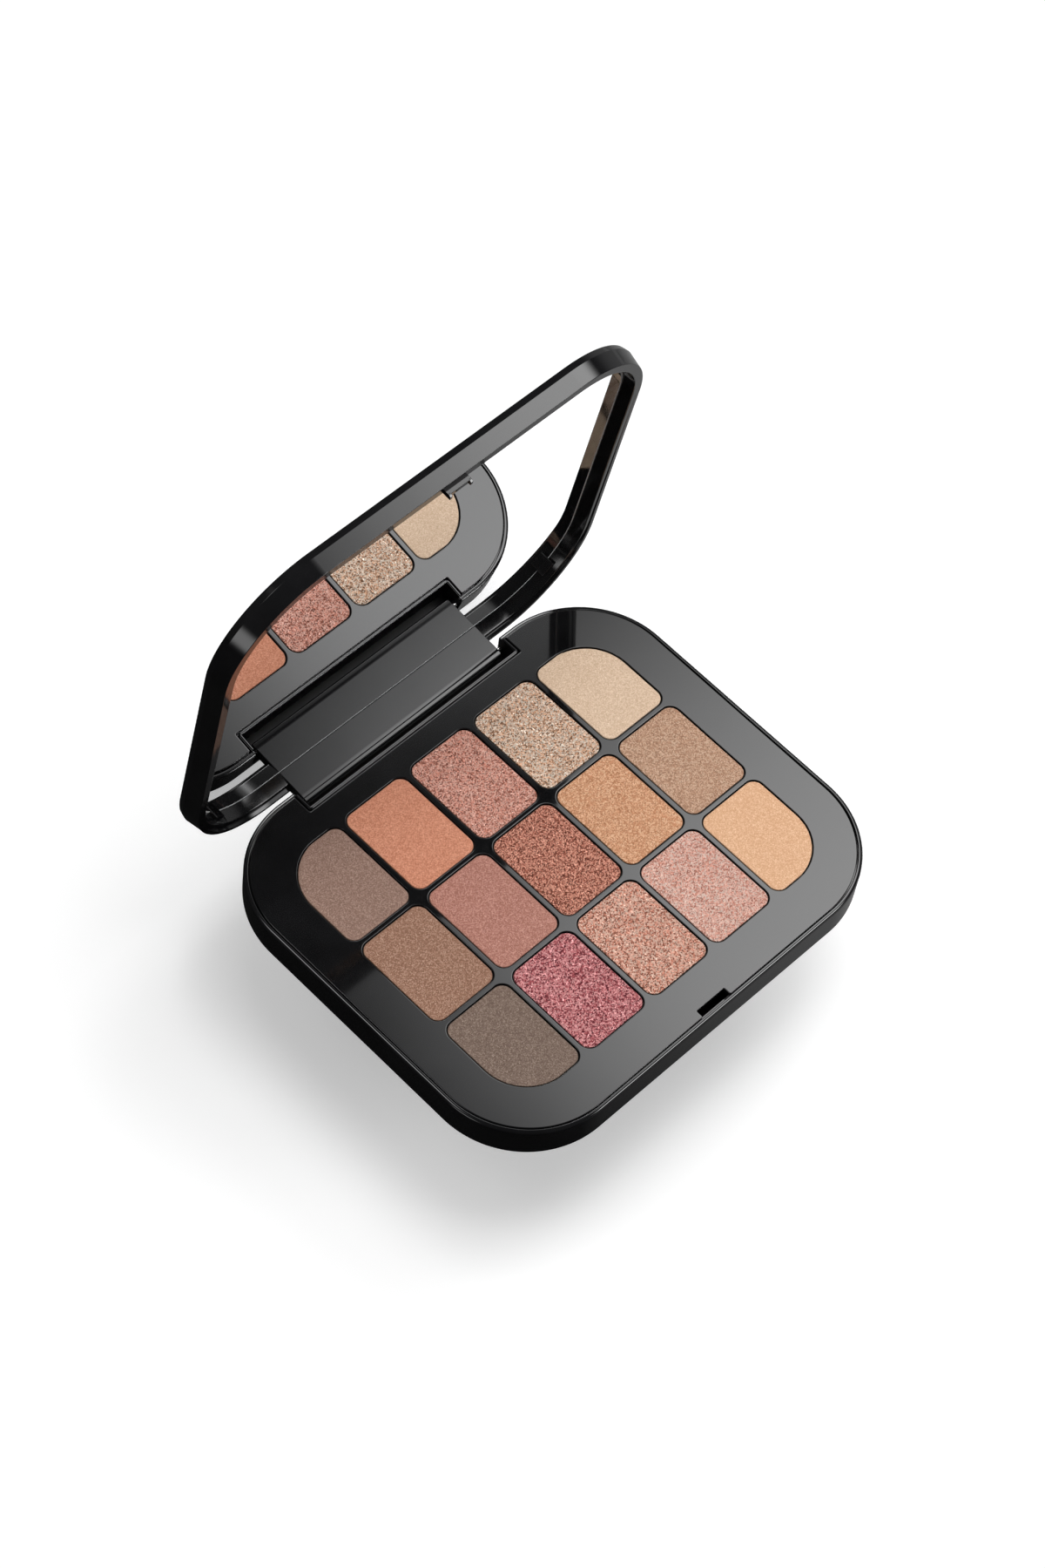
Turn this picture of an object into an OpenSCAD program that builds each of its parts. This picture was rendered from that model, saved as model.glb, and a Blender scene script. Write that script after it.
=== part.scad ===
// Eyeshadow palette: a flat two-part compact with fifteen pressed shades in metal pans,
// a black tray, a mirror over the whole inside of the lid, and two short steel hinge pins.
// Lengths are in millimetres. Z is up, X runs along the hinge, the hinge is at the back (+Y).

/* [Piece] */
// Which piece to draw, or all of them
// How far the lid is swung open from closed, in degrees
open_angle = 83.1; // [0:0.1:110]

/* [Case] */
// Width of the case along the hinge
body_w = 121.4; // [120:0.1:124]
// Depth of the case from front to back
body_d = 103.1; // [102:0.1:106]
// Corner radius of the case seen from above
corner_r = 24; // [22:0.5:25]
// Height of the base, underside to rim
base_h = 9.3; // [9.1:0.1:11]
// Height of the lid, rim to outer face
lid_h = 5.8; // [5.7:0.05:7.5]
// Gap between the closed lid's rim and the base's rim
rim_gap = 0.4; // [0.35:0.05:0.6]
// How far the lid's wall leans outward from its rim to the band at its outer edge
lid_flare = 0.8; // [0.4:0.05:1]
// Height of the band at the lid's outer edge
lid_band = 1.8; // [1.4:0.1:2.2]
// How far the band leans back in
lid_lean = 0.4; // [0.2:0.05:0.6]
// Bevel on the lid's outer edge
lid_edge = 0.4; // [0.2:0.05:0.6]
// Round on the base's lower edge
base_edge_r = 0.9; // [0.5:0.1:1.3]
// Round on the base's rim
rim_edge_r = 0.9; // [0.5:0.05:0.95]
// How much lower both rims run at the back than at the front
rim_dip = 0.9; // [0.6:0.05:1]

/* [Walls] */
// Base wall beside the tray
base_wall = 1.1; // [1:0.05:1.3]
// Width of the ledge the tray rests on
ledge_w = 0.9; // [0.6:0.1:1.5]
// Floor of the base
base_floor = 1.4; // [1.2:0.1:1.6]
// Lid wall at the rim
lid_wall = 2.4; // [2.2:0.1:2.6]
// How much thicker the lid wall is at the mirror
lid_draft = 0.5; // [0.2:0.1:0.7]

/* [Mirror] */
// Depth of the mirror's face below the lid's rim
mirror_recess = 3.3; // [3.1:0.1:3.5]
// Thickness of the mirror
mirror_t = 1.1; // [0.9:0.1:1.2]
// Thickness of the adhesive behind the mirror
adhesive_t = 0.2; // [0.1:0.05:0.25]
// Gap round the mirror's edge
mirror_gap = 0.15; // [0.1:0.05:0.3]

/* [Shades] */
// Spacing of the shades along the hinge
col_pitch = 20; // [19.8:0.1:20.4]
// Spacing of the shades from front to back
row_pitch = 26.7; // [26.6:0.1:27]
// Width of a pressed shade
cake_w = 18.2; // [17.6:0.1:18.3]
// Depth of a pressed shade, front to back
cake_d = 25; // [24.4:0.1:25.1]
// Corner radius of a pressed shade
cake_r = 2.6; // [2:0.1:3.5]
// Large corner radius of the four corner shades
cake_big_r = 11.8; // [10:0.1:12.2]
// How far the block of shades sits forward of the middle
grid_shift = 0.4; // [0:0.1:0.8]
// Depth of a metal pan
pan_depth = 4.6; // [4:0.1:4.8]
// Thickness of the pan metal
pan_t = 0.2; // [0.15:0.05:0.25]
// Gap between a pan and its well
pan_gap = 0.1; // [0.05:0.05:0.15]
// Depth of a pan's edge below the tray's face
pan_drop = 0.4; // [0.3:0.05:0.6]
// Depth of a shade's face below the tray's face
cake_drop = 0.1; // [0.05:0.05:0.2]

/* [Tray] */
// Thickness of the tray's face
tray_t = 1.3; // [1.2:0.1:1.5]
// Depth of the tray's face below the base's rim
tray_drop = 0.2; // [0.1:0.05:0.3]
// Gap between the tray and the base wall
tray_gap = 0.25; // [0.15:0.05:0.35]
// Wall and floor of the wells under the tray
well_wall = 0.8; // [0.7:0.1:1]

/* [Hinge] */
// Width of the lid's hinge tongue
tongue_w = 61.4; // [58:0.2:62]
// Width of the notch in the base for the tongue
notch_w = 64; // [63:0.2:65]
// Depth of the notch from the back of the case
notch_d = 5.45; // [5.3:0.05:5.7]
// Wall that carries the base's rim round the notch
notch_wall = 0.8; // [0.7:0.05:0.9]
// Hinge line to the back of the case
axis_in = 1.25; // [1.2:0.05:1.5]
// Hinge line below the base's rim
axis_down = 4.1; // [3.9:0.1:4.2]
// How far the tongue reaches below the hinge line
tongue_foot = 1.6; // [1.4:0.1:1.7]
// Diameter of the hinge pins
pin_d = 1.4; // [1.2:0.1:1.5]
// Running clearance round a pin in the lid, on the radius
pin_fit = 0.05; // [0.03:0.01:0.08]
// Depth of a pin in the tongue
pin_in = 5; // [3:0.5:8]
// Length of the base's hinge ears
ear_w = 6; // [4:0.5:8]

/* [Latch] */
// Width of the hook under the lid's front
hook_w = 6.6; // [5:0.2:7.4]
// Thickness of the hook
hook_t = 1.3; // [1:0.1:1.4]
// How far the hook reaches past the lid's rim
hook_len = 2; // [1.6:0.1:2.6]
// Side room beside the hook in its recess
hook_room = 1; // [0.6:0.1:1.4]
// Front room between the hook and the base wall
hook_fit = 0.35; // [0.3:0.05:0.5]

/* [Hidden] */
$fn = 96;
eps = 0.05;
COLS = [0, 1, 2, 3, 4];
ROWS = ["front", "middle", "back"];

tray_z = base_h - tray_drop;              // face of the tray
ledge_z = tray_z - tray_t;                // ledge under the tray
pan_top = tray_z - pan_drop;              // edge of the pans
pan_z = pan_top - pan_depth;              // underside of the pans
well_z = pan_z - well_wall;               // underside of the wells
lid_z = base_h + rim_gap;                 // rim of the closed lid
lid_top = lid_z + lid_h;                  // outer face of the closed lid
mirror_z = lid_z + mirror_recess;         // face of the mirror, lid closed
glue_z = mirror_z + mirror_t;             // back of the mirror, lid closed
plate_z = glue_z + adhesive_t;            // inside face of the lid's plate
back_y = body_d / 2;
hinge_y = back_y - axis_in;
hinge_z = base_h - axis_down;
foot_z = hinge_z - tongue_foot;           // lower end of the tongue
sill_z = foot_z - 0.7;                    // bottom of the hinge notch
dip_y = 5;                                // where the rims start to dip
notch_y = back_y - notch_d;
notch_out = notch_w / 2 + notch_wall;     // outside of the wall round the notch
notch_gap = notch_wall + tray_gap;        // notch to the tray
mirror_inset = lid_wall + lid_draft;
pan_w = cake_w + 2 * pan_t;
pan_len = cake_d + 2 * pan_t;
hook_y = -back_y + base_wall + hook_fit;  // outer face of the hook
recess_d = hook_fit + hook_t + 0.55;      // recess behind the base wall

// ---- outlines ----

// What is left of a square corner outside its round
module corner_cut(r) {
    difference() {
        translate([-1, -1]) square(r + 1);
        translate([r, r]) circle(r);
    }
}

// Rectangle about the origin with its own radius at each corner:
// lower left, lower right, upper right, upper left
module rect4(w, d, r) {
    difference() {
        square([w, d], center = true);
        translate([-w / 2, -d / 2]) corner_cut(r[0]);
        translate([w / 2, -d / 2]) rotate(90) corner_cut(r[1]);
        translate([w / 2, d / 2]) rotate(180) corner_cut(r[2]);
        translate([-w / 2, d / 2]) rotate(270) corner_cut(r[3]);
    }
}

// Outline of the case drawn in by an inset
module case_outline(inset) {
    r = corner_r - inset;
    rect4(body_w - 2 * inset, body_d - 2 * inset, [r, r, r, r]);
}

// Corner radii of the shade in a column and row, grown by g
function radii(c, r, g) = [
    (c == 0 && r == 0 ? cake_big_r : cake_r) + g,
    (c == 4 && r == 0 ? cake_big_r : cake_r) + g,
    (c == 4 && r == 2 ? cake_big_r : cake_r) + g,
    (c == 0 && r == 2 ? cake_big_r : cake_r) + g
];

// Outline of one shade grown by g, in its place
module cell(c, r, g) {
    translate([(c - 2) * col_pitch, (r - 1) * row_pitch - grid_shift])
        rect4(cake_w + 2 * g, cake_d + 2 * g, radii(c, r, g));
}

// Side view of a filleted slab: length l, from z0 to z1, round rb below and rt above
module slab_side(l, z0, z1, rb, rt) {
    translate([0, (z0 + z1) / 2]) rect4(l, z1 - z0, [rb, rb, rt, rt]);
}

// The outer half of that side view, measured from a corner's centre
module slab_half(l, z0, z1, rb, rt) {
    intersection() {
        slab_side(2 * l, z0, z1, rb, rt);
        translate([0, z0 - 1]) square([l + 1, z1 - z0 + 2]);
    }
}

// ---- swept bodies ----

// Sweep round the case outline: child 0 is the side view along X, child 1 along Y,
// child 2 the half view at the corners
module case_sweep() {
    run_x = body_w - 2 * corner_r;
    run_y = body_d - 2 * corner_r;
    translate([-run_x / 2, 0, 0]) rotate([90, 0, 90]) linear_extrude(run_x) children(0);
    translate([0, run_y / 2, 0]) rotate([90, 0, 0]) linear_extrude(run_y) children(1);
    for (q = [0 : 3])
        translate([(q == 0 || q == 3 ? 1 : -1) * run_x / 2, (q < 2 ? 1 : -1) * run_y / 2, 0])
            rotate(q * 90) rotate_extrude(angle = 90) children(2);
}

// The case outline as a solid from z0 to z1 with rounded edges
module case_solid(z0, z1, rb, rt) {
    case_sweep() {
        slab_side(body_d, z0, z1, rb, rt);
        slab_side(body_w, z0, z1, rb, rt);
        slab_half(corner_r, z0, z1, rb, rt);
    }
}

// Side view of the lid: wall leaning out, band leaning in, bevelled edge
module lid_side(l) {
    low = lid_z - rim_dip - 0.2;
    wide = l / 2 + lid_flare;
    face = wide - lid_lean;
    polygon([[-l / 2, low], [l / 2, low], [l / 2, lid_z], [wide, lid_top - lid_band],
             [face, lid_top - lid_edge], [face - lid_edge, lid_top],
             [lid_edge - face, lid_top], [-face, lid_top - lid_edge],
             [-wide, lid_top - lid_band], [-l / 2, lid_z]]);
}

// Side view along Y of what is below (or, for s = -1, above) a rim at height z
module rim_line(z, s) {
    polygon([[-body_d, z], [dip_y, z], [0.6 * back_y, z - 0.35 * rim_dip],
             [back_y, z - rim_dip], [back_y + 2, z - rim_dip],
             [back_y + 2, z - 3 * s], [-body_d, z - 3 * s]]);
}

// That side view carried across the case
module rim_cut(z, s) {
    translate([-body_w, 0, 0]) rotate([90, 0, 90]) linear_extrude(2 * body_w) rim_line(z, s);
}

// The lid as a solid slab; inside the base's wall its rim stays level
module lid_solid() {
    difference() {
        case_sweep() {
            lid_side(body_d);
            lid_side(body_w);
            intersection() {
                lid_side(2 * corner_r);
                translate([0, lid_z - 2]) square([corner_r + lid_flare + 1, lid_h + 3]);
            }
        }
        rim_cut(lid_z, 1);
        translate([0, 0, lid_z - 2]) linear_extrude(2) case_outline(base_wall);
    }
}

// Side view of a hollow whose inset goes from i0 at z0 to i1 at z1
module taper_side(l, z0, z1, i0, i1) {
    polygon([[-l / 2 + i0, z0], [l / 2 - i0, z0], [l / 2 - i1, z1], [-l / 2 + i1, z1]]);
}

// The lid's hollow with drafted walls
module taper_solid(z0, z1, i0, i1) {
    case_sweep() {
        taper_side(body_d, z0, z1, i0, i1);
        taper_side(body_w, z0, z1, i0, i1);
        polygon([[0, z0], [corner_r - i0, z0], [corner_r - i1, z1], [0, z1]]);
    }
}

// Puts what is drawn for a closed lid where the lid stands
module on_lid() {
    translate([0, hinge_y, hinge_z]) rotate([-open_angle, 0, 0])
        translate([0, -hinge_y, -hinge_z]) children();
}

// Cylinder along X on the hinge line, from x0 to x1
module on_axis(x0, x1, d) {
    translate([x0, hinge_y, hinge_z]) rotate([0, 90, 0]) cylinder(h = x1 - x0, d = d);
}

// ---- base ----

// Floor ribs that carry the wells
module floor_ribs() {
    rib_h = well_z - base_floor;
    for (c = COLS)
        translate([(c - 2) * col_pitch - 0.6, -row_pitch - grid_shift - 6, base_floor - eps])
            cube([1.2, 2 * row_pitch + 12, rib_h + eps]);
    for (r = [0 : 2])
        translate([-2 * col_pitch - 4, (r - 1) * row_pitch - grid_shift - 0.6, base_floor - eps])
            cube([4 * col_pitch + 8, 1.2, rib_h + eps]);
}

module base_shell() {
    ears = notch_w + 2 * ear_w;
    color([0.05, 0.05, 0.055]) {
        difference() {
            case_solid(0, base_h, base_edge_r, rim_edge_r);
            // the outer rim dips towards the back
            intersection() {
                rim_cut(base_h, -1);
                translate([0, 0, base_h - 2]) linear_extrude(3) difference() {
                    square([2 * body_w, 2 * body_d], center = true);
                    case_outline(base_wall);
                }
            }
            // room for the tray's face, then the hollow under it round the hinge block
            translate([0, 0, ledge_z]) linear_extrude(base_h) difference() {
                case_outline(base_wall);
                translate([-notch_out, notch_y - notch_wall]) square([2 * notch_out, body_d]);
            }
            translate([0, 0, base_floor]) linear_extrude(base_h) difference() {
                case_outline(base_wall + ledge_w);
                translate([-ears / 2, notch_y - notch_gap - ledge_w]) square([ears, body_d]);
            }
            // notch for the lid's tongue
            translate([-notch_w / 2, notch_y, sill_z]) cube([notch_w, notch_d + 1, base_h]);
            // bores through both ears
            on_axis(-ears / 2 - 1, ears / 2 + 1, pin_d);
            // pocket in the ledge for the hook
            translate([-hook_w / 2 - hook_room, -back_y + base_wall, lid_z - hook_len - 0.7])
                cube([hook_w + 2 * hook_room, recess_d, base_h]);
        }
        floor_ribs();
    }
}

// ---- tray, pans and shades ----

module pan_tray() {
    color([0.16, 0.16, 0.17]) difference() {
        union() {
            translate([0, 0, ledge_z]) linear_extrude(tray_t) difference() {
                case_outline(base_wall + tray_gap);
                translate([-notch_w / 2 - notch_gap, notch_y - notch_gap])
                    square([notch_w + 2 * notch_gap, body_d]);
                translate([-hook_w / 2 - hook_room, -back_y])
                    square([hook_w + 2 * hook_room, base_wall + recess_d]);
            }
            translate([0, 0, well_z]) linear_extrude(ledge_z - well_z + eps)
                for (c = COLS, r = [0 : 2]) cell(c, r, pan_t + pan_gap + well_wall);
        }
        for (c = COLS, r = [0 : 2])
            translate([0, 0, pan_z]) linear_extrude(base_h) cell(c, r, pan_t + pan_gap);
    }
}

module pan(c, r) {
    color([0.72, 0.72, 0.73]) difference() {
        translate([0, 0, pan_z]) linear_extrude(pan_depth) cell(c, r, pan_t);
        translate([0, 0, pan_z + pan_t]) linear_extrude(pan_depth) cell(c, r, 0);
    }
}

module shade(c, r, tint) {
    color(tint) translate([0, 0, pan_z + pan_t])
        linear_extrude(tray_z - cake_drop - pan_z - pan_t) cell(c, r, 0);
}

module pan_front_1() { pan(0, 0); }
module pan_front_2() { pan(1, 0); }
module pan_front_3() { pan(2, 0); }
module pan_front_4() { pan(3, 0); }
module pan_front_5() { pan(4, 0); }
module pan_middle_1() { pan(0, 1); }
module pan_middle_2() { pan(1, 1); }
module pan_middle_3() { pan(2, 1); }
module pan_middle_4() { pan(3, 1); }
module pan_middle_5() { pan(4, 1); }
module pan_back_1() { pan(0, 2); }
module pan_back_2() { pan(1, 2); }
module pan_back_3() { pan(2, 2); }
module pan_back_4() { pan(3, 2); }
module pan_back_5() { pan(4, 2); }

module shade_front_1() { shade(0, 0, [0.44, 0.37, 0.32]); }
module shade_front_2() { shade(1, 0, [0.70, 0.36, 0.40]); }
module shade_front_3() { shade(2, 0, [0.80, 0.57, 0.48]); }
module shade_front_4() { shade(3, 0, [0.82, 0.62, 0.56]); }
module shade_front_5() { shade(4, 0, [0.88, 0.70, 0.52]); }
module shade_middle_1() { shade(0, 1, [0.64, 0.47, 0.38]); }
module shade_middle_2() { shade(1, 1, [0.70, 0.47, 0.42]); }
module shade_middle_3() { shade(2, 1, [0.60, 0.36, 0.32]); }
module shade_middle_4() { shade(3, 1, [0.80, 0.58, 0.40]); }
module shade_middle_5() { shade(4, 1, [0.72, 0.56, 0.46]); }
module shade_back_1() { shade(0, 2, [0.57, 0.46, 0.41]); }
module shade_back_2() { shade(1, 2, [0.81, 0.50, 0.38]); }
module shade_back_3() { shade(2, 2, [0.77, 0.52, 0.46]); }
module shade_back_4() { shade(3, 2, [0.78, 0.66, 0.55]); }
module shade_back_5() { shade(4, 2, [0.86, 0.75, 0.62]); }

// ---- hinge pins, held in the base's ears ----

module hinge_pin(side) {
    inner = tongue_w / 2 - pin_in;
    outer = notch_w / 2 + ear_w - 0.4;
    color([0.75, 0.75, 0.77])
        on_axis(side < 0 ? -outer : inner, side < 0 ? -inner : outer, pin_d);
}
module hinge_pin_left() { hinge_pin(-1); }
module hinge_pin_right() { hinge_pin(1); }

// ---- lid ----

// Side view of the hinge tongue: as thick as the lid's wall at the mirror, rounded foot
module tongue_side() {
    in_y = back_y - mirror_inset;
    difference() {
        translate([in_y, foot_z]) square([mirror_inset, mirror_z - foot_z]);
        translate([in_y, foot_z]) corner_cut(0.6);
        translate([back_y, foot_z]) rotate(90) corner_cut(axis_in - 0.05);
    }
}

// Small lugs in the corners over the mirror's edge
module corner_lugs() {
    for (sx = [-1, 1], sy = [-1, 1])
        translate([sx * (body_w / 2 - corner_r), sy * (body_d / 2 - corner_r), mirror_z - 2])
            rotate(sx * sy * 45 + (sx < 0 ? 180 : 0))
                translate([corner_r - mirror_inset - 0.9, -2, 0]) cube([1.6, 4, 2]);
}

// Latch hook with a bevelled tip and a slot in its end
module hook() {
    difference() {
        translate([-hook_w / 2, 0, 0]) rotate([90, 0, 90]) linear_extrude(hook_w)
            polygon([[hook_y, mirror_z - 0.5], [hook_y, lid_z - hook_len + 0.5],
                     [hook_y + 0.4, lid_z - hook_len], [hook_y + hook_t, lid_z - hook_len],
                     [hook_y + hook_t, mirror_z - 0.5]]);
        translate([-hook_w / 2 + 0.7, hook_y + hook_t / 2 - 0.15, lid_z - hook_len - 1])
            cube([hook_w - 1.4, 0.35, 1.6]);
    }
}

module lid_shell() {
    slope = lid_draft / mirror_recess;
    color([0.05, 0.05, 0.055]) on_lid() difference() {
        union() {
            difference() {
                lid_solid();
                taper_solid(lid_z - 1, mirror_z, lid_wall - slope, mirror_inset);
                translate([0, 0, mirror_z - eps]) linear_extrude(plate_z - mirror_z + eps)
                    case_outline(mirror_inset);
            }
            translate([-tongue_w / 2, 0, 0]) rotate([90, 0, 90]) linear_extrude(tongue_w)
                tongue_side();
            corner_lugs();
            hook();
        }
        // blind bores for the pins
        for (s = [-1, 1])
            on_axis(s < 0 ? -tongue_w / 2 - 1 : tongue_w / 2 - pin_in - 0.4,
                    s < 0 ? -tongue_w / 2 + pin_in + 0.4 : tongue_w / 2 + 1,
                    pin_d + 2 * pin_fit);
    }
}

module mirror_plate(inset, z, t) {
    on_lid() translate([0, 0, z]) linear_extrude(t) case_outline(inset);
}

module mirror() { color([0.9, 0.92, 0.94]) mirror_plate(mirror_inset + mirror_gap, mirror_z, mirror_t); }
module mirror_adhesive() { color([0.85, 0.85, 0.8]) mirror_plate(mirror_inset + 3, glue_z, adhesive_t); }

// ---- drawing ----

base_shell();
pan_tray();
pan_front_1();
pan_front_2();
pan_front_3();
pan_front_4();
pan_front_5();
pan_middle_1();
pan_middle_2();
pan_middle_3();
pan_middle_4();
pan_middle_5();
pan_back_1();
pan_back_2();
pan_back_3();
pan_back_4();
pan_back_5();
shade_front_1();
shade_front_2();
shade_front_3();
shade_front_4();
shade_front_5();
shade_middle_1();
shade_middle_2();
shade_middle_3();
shade_middle_4();
shade_middle_5();
shade_back_1();
shade_back_2();
shade_back_3();
shade_back_4();
shade_back_5();
hinge_pin_left();
hinge_pin_right();
lid_shell();
mirror();
mirror_adhesive();
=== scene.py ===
"""Looks of a fifteen-shade eyeshadow palette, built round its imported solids.

Lengths in the classes are millimetres; meshes are made in metres in the part's own frame.
The lid is drawn closed and swung open about the hinge line, as the solids are.
"""

import logging
import math
from dataclasses import dataclass, field
from enum import Enum
from itertools import product
from typing import ClassVar, Callable, Iterable, Sequence

import bmesh
import bpy
import numpy as np
from bpy.types import (ID, Light, Material, Node, NodeSocket as Socket, NodeTree, Object,
                       bpy_prop_collection as Sockets)
from mathutils import Matrix, Vector
from mathutils.geometry import delaunay_2d_cdt


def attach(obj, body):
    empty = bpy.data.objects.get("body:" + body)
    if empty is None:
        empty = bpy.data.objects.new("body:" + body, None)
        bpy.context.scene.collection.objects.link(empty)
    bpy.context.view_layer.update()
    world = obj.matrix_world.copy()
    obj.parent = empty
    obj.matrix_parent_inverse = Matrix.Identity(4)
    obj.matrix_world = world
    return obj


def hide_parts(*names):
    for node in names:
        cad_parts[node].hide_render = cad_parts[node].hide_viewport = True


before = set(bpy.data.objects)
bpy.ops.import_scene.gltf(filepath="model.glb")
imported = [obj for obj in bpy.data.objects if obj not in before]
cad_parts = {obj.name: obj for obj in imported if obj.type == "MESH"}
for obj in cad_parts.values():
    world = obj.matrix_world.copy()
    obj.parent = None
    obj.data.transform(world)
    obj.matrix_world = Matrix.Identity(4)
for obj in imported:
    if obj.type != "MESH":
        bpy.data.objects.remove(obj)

log = logging.getLogger("palette")
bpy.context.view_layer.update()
MM = 0.001
TINY = 1e-9
Colour = tuple[float, float, float]
Corner = tuple[float, float, float]
Array = np.ndarray
Place = Callable[[Array], Array]


# ---- curves and sweeps


def unit(vector: Array) -> Array:
    """A vector made one long, however short it is; no length stays as it is."""
    return vector / (np.hypot(*vector) or 1.0)


def fillet(corners: Sequence[Corner], closed: bool, steps: int, margin: float = 0.08
           ) -> tuple[Array, Array]:
    """Round the corners of a line and keep the straight runs flat under smooth shading.

    A corner b with unit directions u and v to its neighbours and half angle h gets an arc of
    radius r about b + (u + v) / |u + v| * r / sin(h), between the two tangent points. Two
    extra points stand a margin inside each long run. Normals point to the right of travel.

    Args:
        corners: (a, b, radius) of each corner, in order.
        closed: True for a loop.
        steps: Segments per right angle or less of arc.
        margin: Distance of the extra points from the ends of a run.

    Returns:
        Points and unit normals, both (n, 2).
    """
    xy = np.array([c[:2] for c in corners], float)
    count = len(xy)
    parts, norms = [], []
    for k, (b, (_, _, radius)) in enumerate(zip(xy, corners)):
        back, ahead = unit(xy[k - 1] - b), unit(xy[(k + 1) % count] - b)
        open_end = not closed and k in (0, count - 1)
        if radius <= 0 or open_end:
            side = unit(ahead - back) if not open_end else ahead if k == 0 else -back
            parts.append(b[None])
            norms.append(np.array([[side[1], -side[0]]]))
            continue
        turn = back[0] * ahead[1] - back[1] * ahead[0]
        half = 0.5 * math.acos(float(np.clip(back @ ahead, -1, 1)))
        centre = b + unit(back + ahead) * radius / math.sin(half)
        first = b + back * radius / math.tan(half) - centre
        sweep = (math.pi - 2 * half) * (-1 if turn > 0 else 1)
        n = max(2, int(math.ceil(abs(sweep) / (math.pi / 2) * steps)))
        a = math.atan2(first[1], first[0]) + sweep * np.linspace(0, 1, n + 1)
        ray = np.stack([np.cos(a), np.sin(a)], 1)
        parts.append(centre + radius * ray)
        norms.append(ray * (1 if turn < 0 else -1))
    points, normals = [], []
    for k, part in enumerate(parts):
        points.append(part)
        normals.append(norms[k])
        if not closed and k == count - 1:
            break
        a, b = part[-1], parts[(k + 1) % count][0]
        run = b - a
        length = np.hypot(*run)
        if length > 5 * margin:
            side = np.array([run[1], -run[0]]) / length
            points.append(np.stack([a + run * margin / length, b - run * margin / length]))
            normals.append(np.stack([side, side]))
    return np.concatenate(points), np.concatenate(normals)


@dataclass
class Outline:
    """A closed loop seen from above, anticlockwise, with normals that point out of it."""

    points: Array
    normals: Array

    @classmethod
    def of(cls, corners: Sequence[Corner], steps: int, margin: float = 0.3) -> "Outline":
        """The loop through rounded corners."""
        return cls(*fillet(corners, True, steps, margin))

    @classmethod
    def box(cls, width: float, depth: float, radii: Sequence[float],
            centre: tuple[float, float] = (0.0, 0.0), steps: int = 10) -> "Outline":
        """A rectangle with a radius at each corner, from the lower left anticlockwise."""
        x, y = centre
        w, d = width / 2, depth / 2
        return cls.of([(x - w, y - d, radii[0]), (x + w, y - d, radii[1]),
                       (x + w, y + d, radii[2]), (x - w, y + d, radii[3])], steps)

    @classmethod
    def circle(cls, diameter: float) -> "Outline":
        """A round loop about the origin."""
        a = np.linspace(0, 2 * np.pi, 32, endpoint=False)
        ray = np.stack([np.cos(a), np.sin(a)], 1)
        return cls(ray * diameter / 2, ray)

    def inset(self, distance: float) -> Array:
        """Its points moved in along the normals."""
        return self.points - distance * self.normals


def profile(corners: Sequence[Corner], steps: int, margin: float = 0.08) -> Array:
    """Rounded (inset, height) line that an outline carries round."""
    return fillet(corners, False, steps, margin)[0]


def rod(length: float, ease: float, face: float, steps: int, margin: float = 0.08) -> Array:
    """The line of a bar with eased ends, whose flat faces start at an inset."""
    return profile([(face, 0, 0), (0, 0, ease), (0, length, ease), (face, length, 0)], steps,
                   margin)


def grid_faces(rows: int, cols: int, loop: bool = False, tube: bool = False) -> Array:
    """Four-cornered faces between the points of a grid.

    Args:
        rows: Count of rows.
        cols: Points in each row.
        loop: True where the last row joins the first.
        tube: True where the last point of each row joins its first.

    Returns:
        (n, 4) indexes.
    """
    i, j = np.meshgrid(np.arange(rows - (not loop)), np.arange(cols - (not tube)), indexing="ij")
    k, m = (i + 1) % rows, (j + 1) % cols
    return np.stack([i * cols + j, k * cols + j, k * cols + m, i * cols + m], -1).reshape(-1, 4)


def into_scene(name: str, data: ID) -> Object:
    """Make an object of its data and put it in the scene."""
    obj = bpy.data.objects.new(name, data)
    bpy.context.scene.collection.objects.link(obj)
    return obj


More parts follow.
